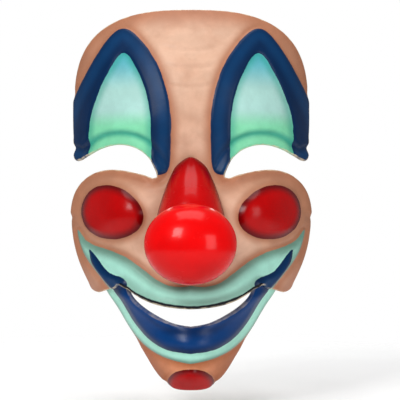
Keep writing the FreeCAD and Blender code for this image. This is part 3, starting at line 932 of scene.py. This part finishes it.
def chin_rest(front, x, z):
    """Straight back to a flat rear, less the hollow for the wearer's chin."""
    inside = 1 - (front[:, 0] / HOLLOW_RX) ** 2 - ((front[:, 2] - HOLLOW_Z) / HOLLOW_RZ) ** 2
    hollow = HOLLOW_REAR_Y - HOLLOW_RY * np.sqrt(np.maximum(inside, 0))
    rear = -HOLLOW_BLEND * np.logaddexp(0, -hollow / HOLLOW_BLEND)
    return np.maximum(rear - front[:, 1], 1.5), np.array([0.0, 1.0, 0.0])


def make_foam():
    inside = WALL + GAP
    brow = [(0, 99), (28, 97), (48, 89), (54, 79), (46, 70), (26, 66), (0, 65)]
    pad("forehead_foam", "forehead_pad", ring(brow), inside, "face", sheet, 5.0)
    cheek = [(50, -22), (62, -20), (72, -26), (74, -36), (66, -43), (52, -44), (44, -36),
             (43, -27)]
    for name, side in SIDES:
        pad(f"cheek_foam_{name}", f"cheek_pad_{name}", ring(cheek, side), inside, "face",
            sheet, 5.0)
    chin = [(0, -138), (15, -138), (27, -143), (28, -151), (20, -160), (0, -165)]
    pad("chin_foam", "chin_cup", ring(chin), JAW_DEPTH + JAW_WALL + GAP, "jaw", chin_rest, 2.5)


# ---- straps
def arc(cx, cy, radius, start, end, count):
    a = np.radians(np.linspace(start, end, count))
    return np.stack([cx + radius * np.cos(a), cy + radius * np.sin(a)], -1)


def band_form(path, width, thick, closed=False):
    """A flat band along a path in a plane, with rounded edges.

    Gives its vertices as (path's two coordinates, height), its faces, and how far along
    and across the band each vertex is.
    """
    path = np.asarray(path, float)
    tangent = np.roll(path, -1, axis=0) - np.roll(path, 1, axis=0)
    if not closed:
        tangent[0], tangent[-1] = path[1] - path[0], path[-1] - path[-2]
    tangent /= np.linalg.norm(tangent, axis=1, keepdims=True)
    across = np.stack([tangent[:, 1], -tangent[:, 0]], -1)
    s = lengths(path)
    edge, r = width / 2 - thick / 2, thick / 2
    levels = np.linspace(-edge, edge, max(int(width / 0.75), 3))
    section = [(r, v) for v in levels]
    section += [(r * math.cos(t), edge + r * math.sin(t)) for t in np.radians(range(30, 151, 30))]
    section += [(-r, -v) for v in levels]
    section += [(r * math.cos(t), r * math.sin(t) - edge) for t in np.radians(range(210, 331, 30))]
    section = np.array(section)
    n, m = len(path), len(section)
    flat = path[:, None, :] + across[:, None, :] * section[None, :, 0, None]
    up = np.broadcast_to(section[None, :, 1], (n, m))
    vertices = np.concatenate([flat, up[..., None]], -1).reshape(-1, 3)
    faces = grid_faces(n, m, wrap=True)
    if closed:
        faces += [((n - 1) * m + k, (n - 1) * m + (k + 1) % m, (k + 1) % m, k) for k in range(m)]
    else:
        faces += end_caps(n, m)
    faces = [f[::-1] for f in faces]
    return vertices, faces, {"along": np.repeat(s, m), "across": np.tile(section[:, 1], n)}


def straight(x, y0, y1):
    count = max(int(abs(y1 - y0)), 2)
    return np.stack([np.full(count, x), np.linspace(y0, y1, count + 1)[:-1]], -1)


def stitches(name, starts, ends, x):
    """Short thread stitches that lie on a face of the band, between (y, z) points."""
    vertices, faces = [], []
    for (y0, z0), (y1, z1) in zip(starts, ends):
        a, b = np.array([x, y0, z0]), np.array([x, y1, z1])
        along = (b - a) / np.linalg.norm(b - a)
        side = np.cross(along, (1, 0, 0))
        base = len(vertices)
        for t, r in ((0, 0.08), (0.12, 0.26), (0.5, 0.30), (0.88, 0.26), (1, 0.08)):
            centre = a + (b - a) * t
            for q in np.radians(np.arange(0, 360, 60)):
                spoke = math.cos(q) * side + math.sin(q) * np.array([1, 0, 0])
                vertices.append(centre + r * spoke)
        faces += [tuple(base + i for i in f[::-1])
                  for f in grid_faces(5, 6, wrap=True) + end_caps(5, 6)]
    piece = new_piece(name, vertices, faces, [THREAD])
    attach(piece, "face")


BOX_HALF, STITCH = 7.5, 2.2


def box_stitch(name, x, y0, y1, height):
    """A sewn box with a cross, as on a strap end."""
    low, high = height - BOX_HALF, height + BOX_HALF
    corners = [(y0, low), (y1, low), (y1, high), (y0, high), (y0, low), (y1, high)]
    runs = list(zip(corners[:-1], corners[1:])) + [((y1, low), (y0, high))]
    starts, ends = [], []
    for (ya, za), (yb, zb) in runs:
        count = max(int(math.hypot(yb - ya, zb - za) / STITCH), 1)
        for k in range(count):
            t0, t1 = (k + 0.12) / count, (k + 0.88) / count
            starts.append((ya + (yb - ya) * t0, za + (zb - za) * t0))
            ends.append((ya + (yb - ya) * t1, za + (zb - za) * t1))
    stitches(name, starts, ends, x)


def make_straps():
    for kind, height in STRAP_HEIGHTS.items():
        left_end = through([(-RETURN_X, BAR_Y + 1), (-82.6, BAR_Y + 5), (-81.3, BAR_Y + 9),
                            (-81.25, BAR_Y + 14)], step=0.5)[::-1]
        path = np.vstack([
            left_end[:-1],
            arc(-BAR_X, BAR_Y, TURN_R, 180, 360, 16)[:-1],
            straight(-BAND_X, BAR_Y, BAND_BACK_Y),
            arc(0, BAND_BACK_Y, BAND_X, 180, 0, 200)[:-1],
            straight(BAND_X, BAND_BACK_Y, BAR_Y),
            arc(BAR_X, BAR_Y, TURN_R, 180, 360, 16)[:-1],
            straight(RETURN_X, BAR_Y, RETURN_END_Y),
            [(RETURN_X, RETURN_END_Y)],
        ])
        vertices, faces, fields = band_form(path, BAND_H, BAND_T)
        band = new_piece(f"{kind}_elastic", vertices + (0, 0, height), faces, [ELASTIC],
                         fields=fields)
        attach(band, "face")
        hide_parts(f"{kind}_strap")
        box_stitch(f"{kind}_end_stitch", -82.0, BAR_Y + 7.5, BAR_Y + 13, height)
        tail = [(y, height + v) for y in (RETURN_END_Y - 3.2, RETURN_END_Y - 1.6)
                for v in np.arange(-9.5, 9.0, 2.0)]
        stitches(f"{kind}_tail_stitch", tail, [(y, z + 1.5) for y, z in tail],
                 RETURN_X + BAND_T / 2 + 0.05)


# ---- jaw hinge and hardware
def side_x(y, z, depth):
    """How far out the skin at a depth under the form lies, beside the point (y, z)."""
    y, z = np.atleast_1d(y).astype(float), np.atleast_1d(z).astype(float)
    level = z.copy()
    for again in range(4):
        low, high = np.full_like(y, 30.0), half_width(level) * 0.999
        for halving in range(30):
            middle = (low + high) / 2
            behind = under_skin(middle, level, np.full_like(y, depth))[:, 1] > y
            low, high = np.where(behind, low, middle), np.where(behind, middle, high)
        found = under_skin(low, level, np.full_like(y, depth))
        level += z - found[:, 2]
    return found[:, 0]


def turned(y, z, profile, side, columns=48):
    """A round form about an axis along X: profile is of (x, radius); x may follow the skin.

    An x given as ("skin", depth) is that depth under the form's surface.
    """
    a = np.linspace(0, 2 * math.pi, columns, endpoint=False)
    rows = []
    for x, radius in profile:
        ys, zs = y + radius * np.cos(a), z + radius * np.sin(a)
        xs = side_x(ys, zs, x[1]) if isinstance(x, tuple) else np.full(columns, float(x))
        rows.append(np.stack([side * xs, ys, zs], -1))
    faces = grid_faces(len(rows), columns, wrap=True)
    if profile[0] == profile[-1]:
        last = (len(rows) - 1) * columns
        faces = [tuple(i - last if i >= last else i for i in f) for f in faces]
        rows = rows[:-1]
    else:
        faces += end_caps(len(rows), columns)
    if side < 0:
        faces = [f[::-1] for f in faces]
    return np.vstack(rows), faces


def make_jaw_fittings():
    """The jaw's bored ears and its pegs, moulded with it, and the rubber rings."""
    in_wall = JAW_DEPTH + JAW_WALL / 2
    ear = [(EAR_INNER_X, PIN_HOLE_R + 0.4), (EAR_INNER_X, EAR_R - 0.8),
           (EAR_INNER_X + 0.25, EAR_R - 0.25), (EAR_INNER_X + 0.8, EAR_R),
           (("skin", in_wall), EAR_R), (("skin", JAW_DEPTH + 0.1), EAR_HOLE_R - 0.1),
           (("skin", JAW_DEPTH + 0.1), PIN_HOLE_R), (EAR_INNER_X + 0.4, PIN_HOLE_R),
           (EAR_INNER_X, PIN_HOLE_R + 0.4)]
    head = [(0, 1.0), (0, HEAD_R - 0.5), (0.15, HEAD_R - 0.15), (0.5, HEAD_R), (0.8, HEAD_R),
            (1.1, HEAD_R - 0.2), (1.2, HEAD_R - 0.5), (1.2, POST_R + 0.2), (1.4, POST_R)]
    peg = [(POST_TIP_X + x, r) for x, r in head] + [
        (("skin", in_wall + 0.8), POST_R), (("skin", in_wall), POST_R + 0.8)]
    down = np.subtract(JAW_POST, FACE_POST)
    along = math.degrees(math.atan2(down[1], down[0]))
    r = POST_R + RING_THICK / 2 + 0.1
    track = evenly(np.vstack([arc(*JAW_POST, r, along - 90, along + 90, 24),
                              arc(*FACE_POST, r, along + 90, along + 270, 24)]), RING_POINTS)
    form, ring_faces, fields = band_form(track, RING_WIDTH, RING_THICK, closed=True)
    for name, side in SIDES:
        for part, y, z, profile in (("ear", HINGE_Y, HINGE_Z, ear), ("peg", *JAW_POST, peg)):
            vertices, faces = turned(y, z, profile, side)
            piece = new_piece(f"jaw_{part}_{name}", vertices, faces, [RAW],
                              fields={"rim": np.full(len(vertices), 12.0)})
            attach(piece, "jaw")
            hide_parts("jaw_shell")
        rubber = new_piece(f"rubber_{name}", form[:, (2, 0, 1)] + (side * RUBBER_X, 0, 0),
                           ring_faces, [RUBBER], fields=fields)
        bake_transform(rubber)
        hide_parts(f"jaw_elastic_{name}")


WELD, EASED = 0.02, 0.3  # corners closer than WELD are joined; edges are eased by EASED


def softened(node):
    """A CAD node's shape with its hard corners eased, standing for that node."""
    source = frame["nodes"][node]
    mesh = source.data.copy()
    form = bmesh.new()
    form.from_mesh(mesh)
    form.transform(source.matrix_world)
    bmesh.ops.remove_doubles(form, verts=form.verts, dist=WELD * MM)
    bmesh.ops.dissolve_limit(form, angle_limit=math.radians(2), verts=form.verts,
                             edges=form.edges)
    bmesh.ops.dissolve_degenerate(form, dist=WELD * MM, edges=form.edges)
    form.to_mesh(mesh)
    form.free()
    mesh.materials.clear()
    mesh.materials.append(PLASTIC)
    mesh.polygons.foreach_set("use_smooth", [True] * len(mesh.polygons))
    piece = add_object(f"{node}_eased", mesh)
    bevel = piece.modifiers.new("eased", "BEVEL")
    bevel.width = EASED * MM
    bevel.segments = 2
    bevel.limit_method = "ANGLE"
    bevel.angle_limit = math.radians(40)
    bevel.harden_normals = True
    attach(piece, source["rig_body"])
    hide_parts(node)


def dress(node, material):
    """Gives a CAD node that stays its material."""
    mesh = frame["nodes"][node].data
    mesh.materials.clear()
    mesh.materials.append(material)


def make_hardware():
    for name in list(frame["nodes"]):
        if name.endswith("adjuster") or name.startswith(("elastic_post", "hinge_stud")):
            softened(name)
        if name.startswith(("temple_loop", "cheek_loop", "nose_snap_ring")):
            dress(name, PLASTIC)
        if name.startswith("push_nut"):
            dress(name, STEEL)


# ---- stage
ROOM_LIGHT = 0.24        # soft light from all round; the backdrop itself shows as white
FLOOR_R, FLOOR_DROP = 750, 12    # how far out the floor fades away, and how far down it is
FLOOR_SIDES = 96
CAMERA_LENS, CAMERA_SENSOR, CAMERA_PLACE = 152, 36, (0.007, -1.3, -0.0275)


def make_stage():
    floor_z = cad_box[0].z / MM - FLOOR_DROP
    corners = [(FLOOR_R * math.cos(a), FLOOR_R * math.sin(a), floor_z)
               for a in np.linspace(0, 2 * math.pi, FLOOR_SIDES + 1)[:-1]]
    s = Shader("floor_paint")
    x, y, _ = s.xyz()
    out = s.math("SQRT", s.math("ADD", s.times(x, x), s.times(y, y)))
    fade = s.step(out, FLOOR_R * MM * 0.45, FLOOR_R * MM * 0.98, 1.0, 0.0)
    s.fill(s.surface, {"Alpha": fade})
    floor = new_piece("floor", corners, [tuple(range(FLOOR_SIDES))],
                      [s.finish(srgb(246, 246, 246), 0.9)])
    world = bpy.data.worlds.new("studio")
    bpy.context.scene.world = world
    world.use_nodes = True
    tree = world.node_tree
    seen = tree.nodes.new("ShaderNodeLightPath").outputs["Is Camera Ray"]
    strength = tree.nodes.new("ShaderNodeMapRange")
    tree.links.new(seen, strength.inputs["Value"])
    strength.inputs["To Min"].default_value = ROOM_LIGHT
    strength.inputs["To Max"].default_value = 1.0
    tree.nodes["Background"].inputs["Color"].default_value = (1, 1, 1, 1)
    tree.links.new(strength.outputs[0], tree.nodes["Background"].inputs["Strength"])
    for name, place, size, power, aim in (
            ("key", (-0.7, -1.3, 0.8), (0.5, 0.7), 17, (0, 0, -0.03)),
            ("fill", (1.0, -1.1, 0.1), (0.6, 0.9), 6.5, (0, 0, -0.04)),
            ("top", (0.0, -0.1, 1.3), (1.0, 0.8), 8, (0, 0, 0)),
            ("back", (0.0, 1.3, 1.0), (0.9, 0.9), 14, (0, 0.05, 0))):
        light = bpy.data.lights.new(name, "AREA")
        light.shape = "RECTANGLE"
        light.size, light.size_y = size
        light.energy = power
        lamp = add_object(name, light)
        lamp.location = place
        lamp.rotation_euler = (Vector(aim) - Vector(place)).to_track_quat("-Z", "Y").to_euler()


def make_camera():
    camera = bpy.data.cameras.new("camera")
    camera.lens, camera.sensor_width = CAMERA_LENS, CAMERA_SENSOR
    holder = add_object("camera", camera)
    holder.location = CAMERA_PLACE
    holder.rotation_euler = (math.radians(90), 0, 0)
    bpy.context.scene.camera = holder
    bpy.context.scene.view_settings.view_transform = "Standard"


make_camera()
make_shells()
make_bridge()
make_ball()
make_foam()
make_straps()
make_jaw_fittings()
make_hardware()
make_stage()
